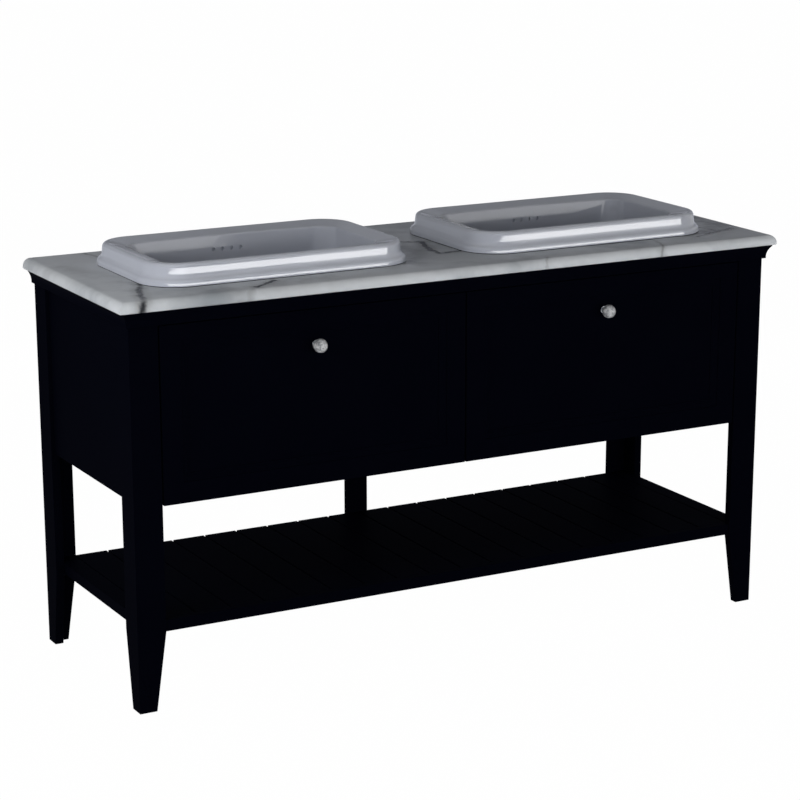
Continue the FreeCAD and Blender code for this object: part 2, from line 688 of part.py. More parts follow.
def centre_pieces():
    """The pieces that run across the cabinet, by name."""
    rear_rail_top = bottom_low + REAR_BOTTOM_RAIL_HEIGHT
    return {
        "marble_top": worktop(),
        "front_cornice": front_cornice(),
        "front_top_rail": box(-leg_inner, leg_inner, front, front + FRONT_RAIL_DEPTH, cornice_base,
                              TOP_UNDERSIDE),
        "rear_top_rail": rear_top_rail(),
        "rear_bottom_rail": box(-leg_inner, leg_inner, carcass_back, back, bottom_low, rear_rail_top),
        "rear_post": box(-POST_WIDTH / 2, POST_WIDTH / 2, carcass_back, back, 0, bottom_low),
        "bottom_panel": box(-board_inner, board_inner, carcass_front, carcass_back, bottom_low, bottom_high),
        "centre_divider": box(divider_face, -divider_face, carcass_front, carcass_back, bottom_high,
                              cornice_base),
        "shelf_front_rail": shelf_front_rail(),
        "shelf_rear_rail": box(-slat_span, slat_span, carcass_back - BOARD, carcass_back, shelf_base,
                               slat_base),
        "shelf_slats": shelf_slats(),
    }


def main():
    """Build every piece and write one file for each."""
    pieces = centre_pieces()
    for name, shape in left_pieces().items():
        pieces[f"left_{name}"] = shape
        pieces[f"right_{name}"] = shape.mirror(V(0, 0, 0), RIGHT)
    os.makedirs("parts", exist_ok=True)
    for name, shape in sorted(pieces.items()):
        if not shape.isValid() or shape.Volume <= 0:
            raise ValueError(f"{name} is not a sound solid")
        shape.exportStep(f"parts/{name}.step")
        print(f"{name}: {len(shape.Solids)} solid(s), {shape.Volume / 1000:.1f} cm3")
    print(f"{len(pieces)} pieces")


main()
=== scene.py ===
"""Looks of a double vanity unit, dressed on its fixed frame. Metres, +Z up, -Y to the front."""
import json
import logging
import math
from dataclasses import dataclass, field
from enum import Enum
from functools import partial, reduce
from typing import Any, Callable, Sequence

import bmesh
import bpy
from bmesh.types import BMesh, BMVert
from bpy.types import ID, Material, Mesh, Node, NodeSocket, NodeTree, Object, World
from mathutils import Matrix, Vector

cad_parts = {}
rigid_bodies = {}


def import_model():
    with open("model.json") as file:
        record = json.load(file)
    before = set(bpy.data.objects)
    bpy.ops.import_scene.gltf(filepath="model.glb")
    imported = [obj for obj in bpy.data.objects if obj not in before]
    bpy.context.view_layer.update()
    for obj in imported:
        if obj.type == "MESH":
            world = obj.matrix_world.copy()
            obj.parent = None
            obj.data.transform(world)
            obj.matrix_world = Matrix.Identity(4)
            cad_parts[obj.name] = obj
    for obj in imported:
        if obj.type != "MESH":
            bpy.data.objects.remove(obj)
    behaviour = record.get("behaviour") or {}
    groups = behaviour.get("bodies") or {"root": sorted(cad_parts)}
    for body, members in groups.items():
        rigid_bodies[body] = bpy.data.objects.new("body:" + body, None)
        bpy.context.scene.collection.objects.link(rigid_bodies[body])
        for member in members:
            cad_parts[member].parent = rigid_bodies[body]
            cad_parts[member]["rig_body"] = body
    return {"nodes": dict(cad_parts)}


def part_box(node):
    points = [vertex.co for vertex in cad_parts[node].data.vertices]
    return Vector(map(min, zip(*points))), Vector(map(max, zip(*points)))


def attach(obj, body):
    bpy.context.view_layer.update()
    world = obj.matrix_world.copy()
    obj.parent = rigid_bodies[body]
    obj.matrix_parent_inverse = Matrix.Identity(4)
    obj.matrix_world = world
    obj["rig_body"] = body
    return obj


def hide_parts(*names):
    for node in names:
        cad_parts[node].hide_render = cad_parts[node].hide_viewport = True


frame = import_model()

LOG = logging.getLogger("vanity")
MM = 0.001
TINY = 0.001 * MM
QUARTER = math.pi / 2
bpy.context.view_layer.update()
IMAGE_SIDE = 800
SIDES = ("left", "right")
WHITE = "#FFFFFF"

# The inputs of a colour mix go by number, because other inputs of that node have the same names
SHARE, UNDER, OVER = 0, 6, 7
COLOUR = {"data_type": "RGBA"}
SMOOTH = {"interpolation_type": "SMOOTHSTEP"}

Point = tuple[float, float]
Place = tuple[float, float, float]
Ring = tuple[float, float, float]
Source = Node | NodeSocket
Settings = dict[str | int, Any]
Links = dict[str | int, Source]
Adder = Callable[..., Node]
Wiring = tuple[Settings, Links]


def linear(code: str) -> tuple[float, float, float, float]:
    """Turn an sRGB colour, as #RRGGBB, into linear red, green and blue, and an alpha of one."""
    shares = [int(code[i:i + 2], 16) / 255 for i in (1, 3, 5)]
    return (*[s / 12.92 if s <= 0.04045 else ((s + 0.055) / 1.055) ** 2.4 for s in shares], 1.0)


def add_node(tree: NodeTree, kind: str, settings: Settings | None = None, links: Links | None = None) -> Node:
    """Add one shader node, set it up and wire it.

    Args:
        tree: the node tree it joins.
        kind: the node's type, without the ShaderNode that each of them starts with.
        settings: values for its own properties, or for inputs by name or number.
        links: what feeds its inputs, by name or number: a socket, or a node for its first output in use.

    Returns:
        The new node.
    """
    node = tree.nodes.new(f"ShaderNode{kind}")
    for key, value in (settings or {}).items():
        if isinstance(key, int) or key in node.inputs:
            node.inputs[key].default_value = value
        else:
            setattr(node, key, value)
    for key, source in (links or {}).items():
        if isinstance(source, Node):
            source = next(output for output in source.outputs if output.enabled)
        tree.links.new(source, node.inputs[key])
    return node


def bare_nodes(owner: Material | World) -> Adder:
    """Clear the nodes of a material or a world.

    Args:
        owner: the material or world.

    Returns:
        The function that adds a node to it.
    """
    owner.use_nodes = True
    owner.node_tree.nodes.clear()
    return partial(add_node, owner.node_tree)


class Grain(Enum):
    """The way a grain runs, as the shrink of each axis in its pattern."""

    ALONG_X = (0.05, 1.0, 1.0)
    ALONG_Y = (1.0, 0.05, 1.0)
    ALONG_Z = (1.0, 1.0, 0.05)


@dataclass(frozen=True)
class Noise:
    """A cloudy pattern: its size in millimetres, its octaves and twist, and if the grain draws it out."""

    size_mm: float
    octaves: float = 2.0
    twist: float = 0.0
    grained: bool = False


@dataclass(frozen=True)
class Tint:
    """A colour laid over the last one: as dense as its noise or, with a span, rising between two levels."""

    colour: str
    noise: Noise
    span: Point | None = None
    most: float = 1.0


@dataclass(frozen=True)
class Finish:
    """A surface finish: the slot that it dresses, its colours, its least and most roughness, its relief."""

    name: str
    slot: str
    grain: Grain = Grain.ALONG_Z
    base: str = WHITE
    tints: tuple[Tint, ...] = ()
    roughness: Point = (0.5, 0.5)
    rough_by: Noise | None = None
    relief: tuple[Noise, ...] = ()
    relief_mm: float = 0.05
    relief_share: float = 0.2
    specular: float = 0.5
    metallic: float = 0.0

    def material(self) -> Material:
        """Give the finish's material, made when it is first asked for.

        Returns:
            The material.
        """
        made = bpy.data.materials.get(self.name)
        if made is None:
            made = bpy.data.materials.new(self.name)
            add = bare_nodes(made)
            shader = add("BsdfPrincipled", *self.wiring(add))
            add("OutputMaterial", links={"Surface": shader})
        return made

    def points(self, add: Adder) -> Source:
        """Give the points at which the pattern is drawn."""
        return add("TexCoord").outputs["Object"]

    def wiring(self, add: Adder) -> Wiring:
        """Draw the finish.

        Args:
            add: adds a node to the material.

        Returns:
            The shader's own values, and what feeds it.
        """
        where = self.points(add)
        used = [tint.noise for tint in self.tints] + [*self.relief, self.rough_by]
        levels = {}
        for noise in dict.fromkeys(filter(None, used)):
            at = where
            if noise.grained:
                at = add("VectorMath", {"operation": "MULTIPLY", 1: self.grain.value}, {0: where})
            look = {"Scale": 1 / (noise.size_mm * MM), "Detail": noise.octaves, "Distortion": noise.twist}
            levels[noise] = add("TexNoise", look, {"Vector": at})
        settings = {"Specular IOR Level": self.specular, "Metallic": self.metallic}
        links = {}
        for tint in self.tints:
            dense = levels[tint.noise]
            if tint.span:
                rise = {"From Min": tint.span[0], "From Max": tint.span[1], "To Max": tint.most}
                dense = add("MapRange", SMOOTH | rise, {"Value": dense})
            last = {UNDER: links["Base Color"]} if links else {}
            links["Base Color"] = add("Mix", COLOUR | {UNDER: linear(self.base), OVER: linear(tint.colour)},
                                      {SHARE: dense} | last)
        if self.rough_by:
            gloss = {"To Min": self.roughness[0], "To Max": self.roughness[1]}
            links["Roughness"] = add("MapRange", gloss, {"Value": levels[self.rough_by]})
        else:
            settings["Roughness"] = self.roughness[0]
        if self.relief:
            height = reduce(lambda one, other: add("Math", {"operation": "ADD"}, {0: one, 1: other}),
                            [levels[noise] for noise in self.relief])
            depth = {"Strength": self.relief_share, "Distance": self.relief_mm * MM}
            links["Normal"] = add("Bump", depth, {"Height": height})
        return settings, links


# Real spray peel is about 1 mm across, tool marks and pores are finer: drawn coarser so that they show
PEEL = Noise(3.0, 1.0)
CLOUD = Noise(190.0, 4.0)
FLECK = Noise(3.0, 3.0)
POLISH = Noise(0.8, grained=True)
ROLLING = Noise(0.9, grained=True)
TURNING = Noise(0.7, grained=True)
GROWTH = Noise(9.0, 4.0, 0.4, grained=True)
PORES = Noise(1.1, grained=True)
BLOOM = Noise(14.0, 5.0)


@dataclass(frozen=True)
class NavyLacquer(Finish):
    """Matt navy lacquer, sprayed on timber boards: near black, a faint sheen, the grain just telegraphing."""

    base: str = "#03040C"
    tints: tuple[Tint, ...] = (Tint("#05060F", Noise(160.0, 3.0)),)
    roughness: Point = (0.5, 0.6)
    rough_by: Noise | None = PEEL
    relief: tuple[Noise, ...] = (Noise(1.6, grained=True), PEEL)
    relief_share: float = 0.25
    specular: float = 0.001


@dataclass(frozen=True)
class MottledStone(Finish):
    """Grey-white stone, turned and polished: light and dark crystals a few millimetres across."""

    base: str = "#D9DADC"
    tints: tuple[Tint, ...] = (Tint("#8E9195", Noise(7.0, 4.0, 0.6), (0.38, 0.64)),
                               Tint("#4C4E52", FLECK, (0.58, 0.7), 0.75))
    roughness: Point = (0.18, 0.28)
    rough_by: Noise | None = FLECK


@dataclass(frozen=True)
class PlatedMetal(Finish):
    """Metal with a thin plating or a turned face: its own tint, fine marks along one way, slightly cloudy."""

    base: str = "#D4D7DB"
    tints: tuple[Tint, ...] = (Tint("#B9BDC2", Noise(25.0, 3.0)),)
    roughness: Point = (0.08, 0.13)
    rough_by: Noise | None = POLISH
    relief: tuple[Noise, ...] = (POLISH,)
    relief_mm: float = 0.01
    relief_share: float = 0.1
    metallic: float = 1.0


@dataclass(frozen=True)
class LacqueredBirch(Finish):
    """Birch board, planed and clear-lacquered: pale honey, darker growth lines along it, small pores."""

    base: str = "#DCC39B"
    tints: tuple[Tint, ...] = (Tint("#B88F5E", GROWTH, (0.4, 0.68), 0.8),
                               Tint("#7A5836", PORES, (0.6, 0.75), 0.55))
    roughness: Point = (0.36, 0.52)
    rough_by: Noise | None = GROWTH
    relief: tuple[Noise, ...] = (PORES,)
    relief_mm: float = 0.06


@dataclass(frozen=True)
class MouldedRubber(Finish):
    """Black rubber, moulded: dull, with a dusty bloom and a fine mould texture."""

    base: str = "#16171A"
    tints: tuple[Tint, ...] = (Tint("#2B2C2F", BLOOM),)
    roughness: Point = (0.72, 0.72)
    relief: tuple[Noise, ...] = (BLOOM,)


@dataclass(frozen=True)
class GlazedCeramic(Finish):
    """Vitreous china, cast, glazed and fired: cool white gloss with a soft ripple, matt cream where bare.

    The most roughness is the bare body's, which faces down under the worktop.
    """

    base: str = "#CACED8"
    tints: tuple[Tint, ...] = (Tint("#C1C5D1", Noise(120.0)),)
    roughness: Point = (0.03, 0.6)
    relief: tuple[Noise, ...] = (Noise(55.0, 1.0),)
    relief_mm: float = 0.2
    relief_share: float = 0.15
    biscuit: str = "#D8D3C8"
    # painted shadow: a dark band on the down-facing nose just above the worktop, standing in for the foot's
    # contact shadow
    joint: str = "#1D1F24"
    foot_shadow_mm: float = 1.8
    glaze_stop: float = 0.82
    fade_mm: float = 2.0
    down: Point = (-0.02, -0.1)

    def wiring(self, add: Adder) -> Wiring:
        """Draw the glaze, a painted shadow round the foot, and the bare body under the worktop.

        Args:
            add: adds a node to the material.

        Returns:
            The shader's own values, and what feeds it.
        """
        settings, links = super().wiring(add)
        spot = add("TexCoord")
        height = add("SeparateXYZ", links={0: spot.outputs["Object"]}).outputs["Z"]
        facing = add("SeparateXYZ", links={0: spot.outputs["Normal"]}).outputs["Z"]
        below = add("MapRange", {"From Min": self.down[0], "From Max": self.down[1]}, {"Value": facing})
        joint = self.foot_shadow_mm * MM
        # First the painted contact shadow on the nose's underside next to the worktop, then the real bare
        # body below the glaze
        for start, fade, tint in ((self.glaze_stop + joint, joint / 2, self.joint),
                                  (self.glaze_stop, self.fade_mm * MM, self.biscuit)):
            low = add("MapRange", {"From Min": start, "From Max": start - fade}, {"Value": height})
            shadow_and_bare = add("Math", {"operation": "MULTIPLY"}, {0: low, 1: below})
            links["Base Color"] = add("Mix", COLOUR | {OVER: linear(tint)},
                                      {SHARE: shadow_and_bare, UNDER: links["Base Color"]})
        gloss = {"To Min": self.roughness[0], "To Max": self.roughness[1]}
        links["Roughness"] = add("MapRange", gloss, {"Value": shadow_and_bare})
        return settings, links


@dataclass(frozen=True)
class Vein:
    """One vein of the slab: its path in plan and its half width, both in millimetres, and how dark it is."""

    path: tuple[Point, ...]
    width: float
    depth: float = 1.0


@dataclass(frozen=True)
class Shade:
    """One shade of the veins: its colour, its spread in vein widths, its density, and its greatest depth."""

    colour: str
    spread: float
    dense: float
    most: float


@dataclass(frozen=True)
class PolishedMarble(Finish):
    """White marble, sawn and polished: cloudy grey drifts, dark veins with soft warm edges, a quiet sheen."""

    base: str = "#E6EAEE"
    tints: tuple[Tint, ...] = (Tint("#AEB4BA", CLOUD, (0.46, 0.72)),)
    roughness: Point = (0.2, 0.3)
    rough_by: Noise | None = CLOUD
    specular: float = 0.06
    veins: tuple[Vein, ...] = ()
    shades: tuple[Shade, ...] = (Shade("#6C6B6A", 3.0, 0.5, 1.0), Shade("#1E2026", 1.0, 0.95, 2.0))
    pushes_mm: tuple[Point, ...] = ((90.0, 16.0), (14.0, 5.0))
    break_mm: float = 45.0
    break_span: Point = (0.34, 0.58)
    break_least: float = 0.5
    octaves: float = 3.0
    noise_middle: Place = (0.5, 0.5, 0.5)
    any_height: float = 1.0  # more than any height in the slab, so that a vein runs right through it

    def points(self, add: Adder) -> Source:
        """Push the slab's points about, so that no vein runs straight.

        Args:
            add: adds a node to the material.

        Returns:
            The pushed points.
        """
        where = super().points(add)
        bent = where
        for size, reach in self.pushes_mm:
            noise = add("TexNoise", {"Scale": 1 / (size * MM), "Detail": self.octaves}, {"Vector": where})
            shift = add("VectorMath", {"operation": "SUBTRACT", 1: self.noise_middle},
                        {0: noise.outputs["Color"]})
            push = add("VectorMath", {"operation": "SCALE", "Scale": 2 * reach * MM}, {0: shift})
            bent = add("VectorMath", {"operation": "ADD"}, {0: bent, 1: push})
        return bent

    def distance(self, add: Adder, where: Source, path: Sequence[Point]) -> Source:
        """Measure how far a point lies in plan from a vein's path.

        Args:
            add: adds a node to the material.
            where: the points in the slab.
            path: the vein's corners in millimetres.

        Returns:
            The distance in metres.
        """
        gaps = []
        for (x0, y0), (x1, y1) in zip(path, path[1:]):
            half = math.hypot(x1 - x0, y1 - y0) * MM / 2
            middle = ((x0 + x1) * MM / 2, (y0 + y1) * MM / 2, 0.0)
            turn = (0.0, 0.0, math.atan2(y1 - y0, x1 - x0))
            local = add("Mapping", {"vector_type": "TEXTURE", "Location": middle, "Rotation": turn},
                        {"Vector": where})
            after = add("VectorMath", {"operation": "MAXIMUM", 1: (-half, 0.0, -self.any_height)}, {0: local})
            foot = add("VectorMath", {"operation": "MINIMUM", 1: (half, 0.0, self.any_height)}, {0: after})
            gaps.append(add("VectorMath", {"operation": "DISTANCE"}, {0: local, 1: foot}))
        return reduce(lambda one, other: add("Math", {"operation": "MINIMUM"}, {0: one, 1: other}), gaps)

    def wiring(self, add: Adder) -> Wiring:
        """Draw the stone, and its veins with their breaks.

        Args:
            add: adds a node to the material.

        Returns:
            The shader's own values, and what feeds it.
        """
        settings, links = super().wiring(add)
        bent = self.points(add)
        gaps = [self.distance(add, bent, vein.path) for vein in self.veins]
        patch = add("TexNoise", {"Scale": 1 / (self.break_mm * MM), "Detail": self.octaves},
                    {"Vector": super().points(add)})
        rise = {"From Min": self.break_span[0], "From Max": self.break_span[1], "To Min": self.break_least}
        broken = add("MapRange", SMOOTH | rise, {"Value": patch})
        for shade in self.shades:
            marks = []
            for vein, gap in zip(self.veins, gaps):
                edge = vein.width * shade.spread * MM
                most = shade.dense * min(vein.depth, shade.most)
                marks.append(add("MapRange", SMOOTH | {"From Min": edge, "From Max": 0.0, "To Max": most},
                                 {"Value": gap}))
            drawn = reduce(lambda one, more: add("Math", {"operation": "MAXIMUM"}, {0: one, 1: more}), marks)
            dense = add("Math", {"operation": "MULTIPLY"}, {0: drawn, 1: broken})
            links["Base Color"] = add("Mix", COLOUR | {OVER: linear(shade.colour)},
                                      {SHARE: dense, UNDER: links["Base Color"]})
        return settings, links


LACQUER = {grain: NavyLacquer(f"navy_matt_lacquer_{grain.name.lower()}", "navy_lacquer", grain)
           for grain in Grain}
BIRCH = {grain: LacqueredBirch(f"clear_lacquered_birch_{grain.name.lower()}", "drawer_board", grain)
         for grain in Grain}
CERAMIC = GlazedCeramic("glazed_vitreous_china", "glazed_ceramic")
KNOB_STONE = MottledStone("polished_mottled_stone", "knob_stone")
# Chrome plate, polished: bright and cool, near a mirror
CHROME = PlatedMetal("polished_chrome_plate", "chrome")
# Steel strip, rolled and zinc-plated: dull grey, with soft streaks along the runner
ZINC = PlatedMetal("rolled_zinc_plated_steel", "runner_steel", Grain.ALONG_Y, base="#AEB2B5",
                   tints=(Tint("#8D9195", Noise(12.0, 3.0)),), roughness=(0.3, 0.44), rough_by=ROLLING,
                   relief=(ROLLING,), relief_mm=0.02)
# Brass, turned: warm yellow, with fine tool marks
BRASS = PlatedMetal("turned_brass", "brass", Grain.ALONG_X, base="#CDA75C",
                    tints=(Tint("#A98240", Noise(18.0, 3.0)),), roughness=(0.24, 0.38), rough_by=TURNING,
                    relief=(TURNING,), relief_mm=0.03)
RUBBER = MouldedRubber("moulded_black_rubber", "rubber")
MARBLE = PolishedMarble("polished_white_marble", "marble", veins=(
    Vein(((-640, -80), (-647, -106), (-685, -204), (-707, -262)), 10.0),
    Vein(((-462, -234), (-442, -218), (-406, -192)), 8.0, 1.8),
    Vein(((-486, -262), (-474, -244)), 12.0, 0.25),
    Vein(((-5, 62), (51, 36), (18, -54), (16, -91), (75, -86)), 9.0, 1.8),
    Vein(((480, -190), (474, -214), (463, -247), (450, -262)), 5.0, 0.4),
    Vein(((590, -192), (640, -170), (714, -142)), 10.0, 1.4),
    Vein(((650, -60), (668, -150)), 6.0, 0.9),
    Vein(((-622, 272), (-611, 191)), 8.0, 0.6),
    Vein(((170, -262), (186, -240)), 4.0, 0.3),
    Vein(((140, 214), (330, 226), (520, 258)), 4.0, 0.6),
    Vein(((-720, 130), (-650, -90), (-500, -222), (-300, -215)), 50.0, 0.22),
    Vein(((-30, 130), (-20, -40), (-81, -149)), 45.0, 0.5),
    Vein(((600, -175), (713, -100), (715, 40)), 32.0, 0.7),
))


def add_object(name: str, data: ID) -> Object:
    """Make an object of its data and put it in the scene.

    Args:
        name: the object's name.
        data: its mesh, light or camera.

    Returns:
        The object.
    """
    made = bpy.data.objects.new(name, data)
    bpy.context.scene.collection.objects.link(made)
    return made


def mesh_of(name: str, form: BMesh, crease_deg: float | None = None) -> Mesh:
    """Turn a working form into a mesh and free it.

    Args:
        name: the mesh's name.
        form: the working form.
        crease_deg: the angle past which edges of a smooth mesh stay sharp, or None to keep it as set.

    Returns:
        The mesh.
    """
    bmesh.ops.recalc_face_normals(form, faces=form.faces)
    mesh = bpy.data.meshes.new(name)
    form.to_mesh(mesh)
    form.free()
    if crease_deg is not None:
        mesh.polygons.foreach_set("use_smooth", [True] * len(mesh.polygons))
        mesh.set_sharp_from_angle(angle=math.radians(crease_deg))
    return mesh


def put_piece(name: str, form: BMesh, finish: Finish, body: str, node: str,
              crease_deg: float | None = None) -> None:
    """Make a piece of a working form, dress it and let it ride on its body.

    Args:
        name: the piece's name.
        form: its form, already in place.
        finish: the finish that covers it.
        body: the body that carries it.
        node: the frame's node that it replaces.
        crease_deg: the angle past which its edges stay sharp, or None to keep them as set.
    """
    mesh = mesh_of(name, form, crease_deg)
    piece = add_object(name, mesh)
    mesh.materials.append(finish.material())
    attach(piece, body)
    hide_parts(node)
    LOG.info("%s: %d faces, %s, on %s", name, len(mesh.polygons), finish.name, body)


def dress(node: str, finish: Finish) -> None:
    """Give a node of the frame that keeps its own shape a better finish."""
    frame["nodes"][node].material_slots[0].material = finish.material()
    LOG.info("%s: frame node, %s", node, finish.name)


def sweep(start: float, end: float, steps: int) -> list[float]:
    """Divide a turn into even steps, with both its ends."""
    return [start + (end - start) * i / steps for i in range(steps + 1)]


def corner_arcs(half: Vector, inset: float, radius: float, steps: int) -> list[list[Vector]]:
    """Trace the corners of a rounded oblong about the origin, turning left from the one at high X and Y.

    Args:
        half: half the width and depth of the outline that it lies in.
        inset: how far it lies inside that outline.
        radius: the radius of its corners.
        steps: how many facets each corner has.

    Returns:
        The points of each corner.
    """
    arcs = []
    for quarter, (sx, sy) in enumerate(((1, 1), (-1, 1), (-1, -1), (1, -1))):
        centre = Vector((sx * (half.x - inset - radius), sy * (half.y - inset - radius), 0.0))
        turns = sweep(QUARTER * quarter, QUARTER * (quarter + 1), steps)
        arcs.append([centre + Vector((math.cos(t), math.sin(t), 0.0)) * radius for t in turns])
    return arcs


def join_rows(form: BMesh, first: Sequence[BMVert], second: Sequence[BMVert]) -> None:
    """Close the band between two rings of points, either of which may be a single point.

    Args:
        form: the working form.
        first: the points of one ring.
        second: the points of the other.
    """
    count = max(len(first), len(second))
    for i in range(count):
        j = (i + 1) % count
        near = [first[i % len(first)], first[j % len(first)]]
        far = [second[j % len(second)], second[i % len(second)]]
        form.faces.new(list(dict.fromkeys(near + far)))


@dataclass
class EasedBoards:
    """Boards of the frame with their arrises eased by sandpaper, as cabinet makers leave them."""

    ease: float = 0.9 * MM
    segments: int = 3
    roundness: float = 0.5
    flat: float = math.radians(0.5)
    curve: float = math.radians(33)

    def build(self, node: str, finish: Finish, ease: float | None = None) -> None:
        """Copy a board, round its outer arrises and put it in its place.

        Args:
            node: the frame's node for the board.
            finish: the finish that covers it.
            ease: the rounding's width, if it isn't the usual one.
        """
        source = frame["nodes"][node]
        form = bmesh.new()
        form.from_mesh(source.data)
        bmesh.ops.remove_doubles(form, verts=form.verts, dist=TINY)
        bmesh.ops.dissolve_limit(form, angle_limit=self.flat, verts=form.verts, edges=form.edges)
        arrises = []
        for face in form.faces:
            face.smooth = False
        for edge in form.edges:
            if not edge.is_manifold:
                continue
            turn = edge.calc_face_angle(0.0)
            if turn > self.curve and edge.is_convex:
                arrises.append(edge)
            elif self.flat < turn <= self.curve:
                for face in edge.link_faces:
                    face.smooth = True
        rounded = bmesh.ops.bevel(form, geom=arrises, offset=ease or self.ease, offset_type="OFFSET",
                                  segments=self.segments, profile=self.roundness, affect="EDGES",
                                  clamp_overlap=True)
        for face in rounded["faces"]:
            face.smooth = True
        put_piece(f"{node}_eased", form, finish, source["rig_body"], node)


@dataclass
class Cabinet:
    """The lacquered carcass: legs, panels, rails, cornice and slatted shelf."""

    boards: EasedBoards = field(default_factory=EasedBoards)
    upright: tuple[str, ...] = ("front_leg", "rear_leg", "side_panel")
    lengthwise: tuple[str, ...] = ("cornice", "shelf_rail", "runner_rail")
    crosswise: tuple[str, ...] = ("front_cornice", "front_top_rail", "rear_top_rail", "rear_bottom_rail",
                                  "bottom_panel", "shelf_front_rail", "shelf_rear_rail")
    cornice_ease: float = 0.4 * MM

    def build(self) -> None:
        """Ease and lacquer every board of the carcass."""
        for side in SIDES:
            for part in self.upright:
                self.boards.build(f"{side}_{part}", LACQUER[Grain.ALONG_Z])
            for part in self.lengthwise:
                ease = self.cornice_ease if part == "cornice" else None
                self.boards.build(f"{side}_{part}", LACQUER[Grain.ALONG_Y], ease)
        for part in self.crosswise:
            ease = self.cornice_ease if part == "front_cornice" else None
            self.boards.build(part, LACQUER[Grain.ALONG_X], ease)
        self.boards.build("rear_post", LACQUER[Grain.ALONG_Z])
        self.boards.build("centre_divider", LACQUER[Grain.ALONG_Y])
        self.boards.build("shelf_slats", LACQUER[Grain.ALONG_Y])


@dataclass
class Worktop:
    """The marble slab: a rounded nose on the front and both ends, cut out under the basins."""

    nose: float = 16 * MM
    arris: float = 4 * MM
    cutout_inset: float = 30 * MM
    cutout_corner: float = 55 * MM
    nose_steps: int = 14
    arris_steps: int = 7
    corner_steps: int = 12
    crease_deg: float = 30.0

    def section(self, top: float, bottom: float) -> list[Point]:
        """Trace the slab's edge from its face to its underside.

        Args:
            top: the height of the face.
            bottom: the height of the underside.

        Returns:
            Points as the distance in from the edge, and the height.
        """
        nose = [(self.nose * (1 - math.sin(turn)), top - self.nose * (1 - math.cos(turn)))
                for turn in sweep(0.0, QUARTER, self.nose_steps)]
        arris = [(self.arris * (1 - math.cos(turn)), bottom + self.arris * (1 - math.sin(turn)))
                 for turn in sweep(0.0, QUARTER, self.arris_steps)]
        return nose + arris

    def cutout(self, side: str) -> list[Point]:
        """Trace the opening under one basin.

        Args:
            side: left or right.

        Returns:
            The opening's points in plan.
        """
        low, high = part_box(f"{side}_basin")
        middle = (low + high) / 2
        arcs = corner_arcs((high - low) / 2, self.cutout_inset, self.cutout_corner, self.corner_steps)
        return [(middle.x + point.x, middle.y + point.y) for arc in arcs for point in arc]

    def build(self) -> None:
        """Build the slab and polish it."""
        low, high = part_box("marble_top")
        form = bmesh.new()
        rows = []
        for inset, z in self.section(high.z, low.z):
            left, right, front = low.x + inset, high.x - inset, low.y + inset
            corners = ((left, high.y), (left, front), (right, front), (right, high.y))
            rows.append([form.verts.new((x, y, z)) for x, y in corners])
        for upper, lower in zip(rows, rows[1:]):
            for i in range(len(upper) - 1):
                form.faces.new((upper[i], lower[i], lower[i + 1], upper[i + 1]))
        form.faces.new([row[0] for row in rows] + [row[-1] for row in reversed(rows)])
        levels = {high.z: [rows[0]], low.z: [rows[-1]]}
        for side in SIDES:
            plan = self.cutout(side)
            for z, loops in levels.items():
                loops.append([form.verts.new((x, y, z)) for x, y in plan])
            join_rows(form, levels[high.z][-1], levels[low.z][-1])
        for loops in levels.values():
            edges = []
            for loop in loops:
                for pair in zip(loop, loop[1:] + loop[:1]):
                    edges.append(form.edges.get(pair) or form.edges.new(pair))
            bmesh.ops.triangle_fill(form, use_beauty=True, use_dissolve=False, edges=edges)
        put_piece("marble_slab", form, MARBLE, "cabinet", "marble_top", self.crease_deg)


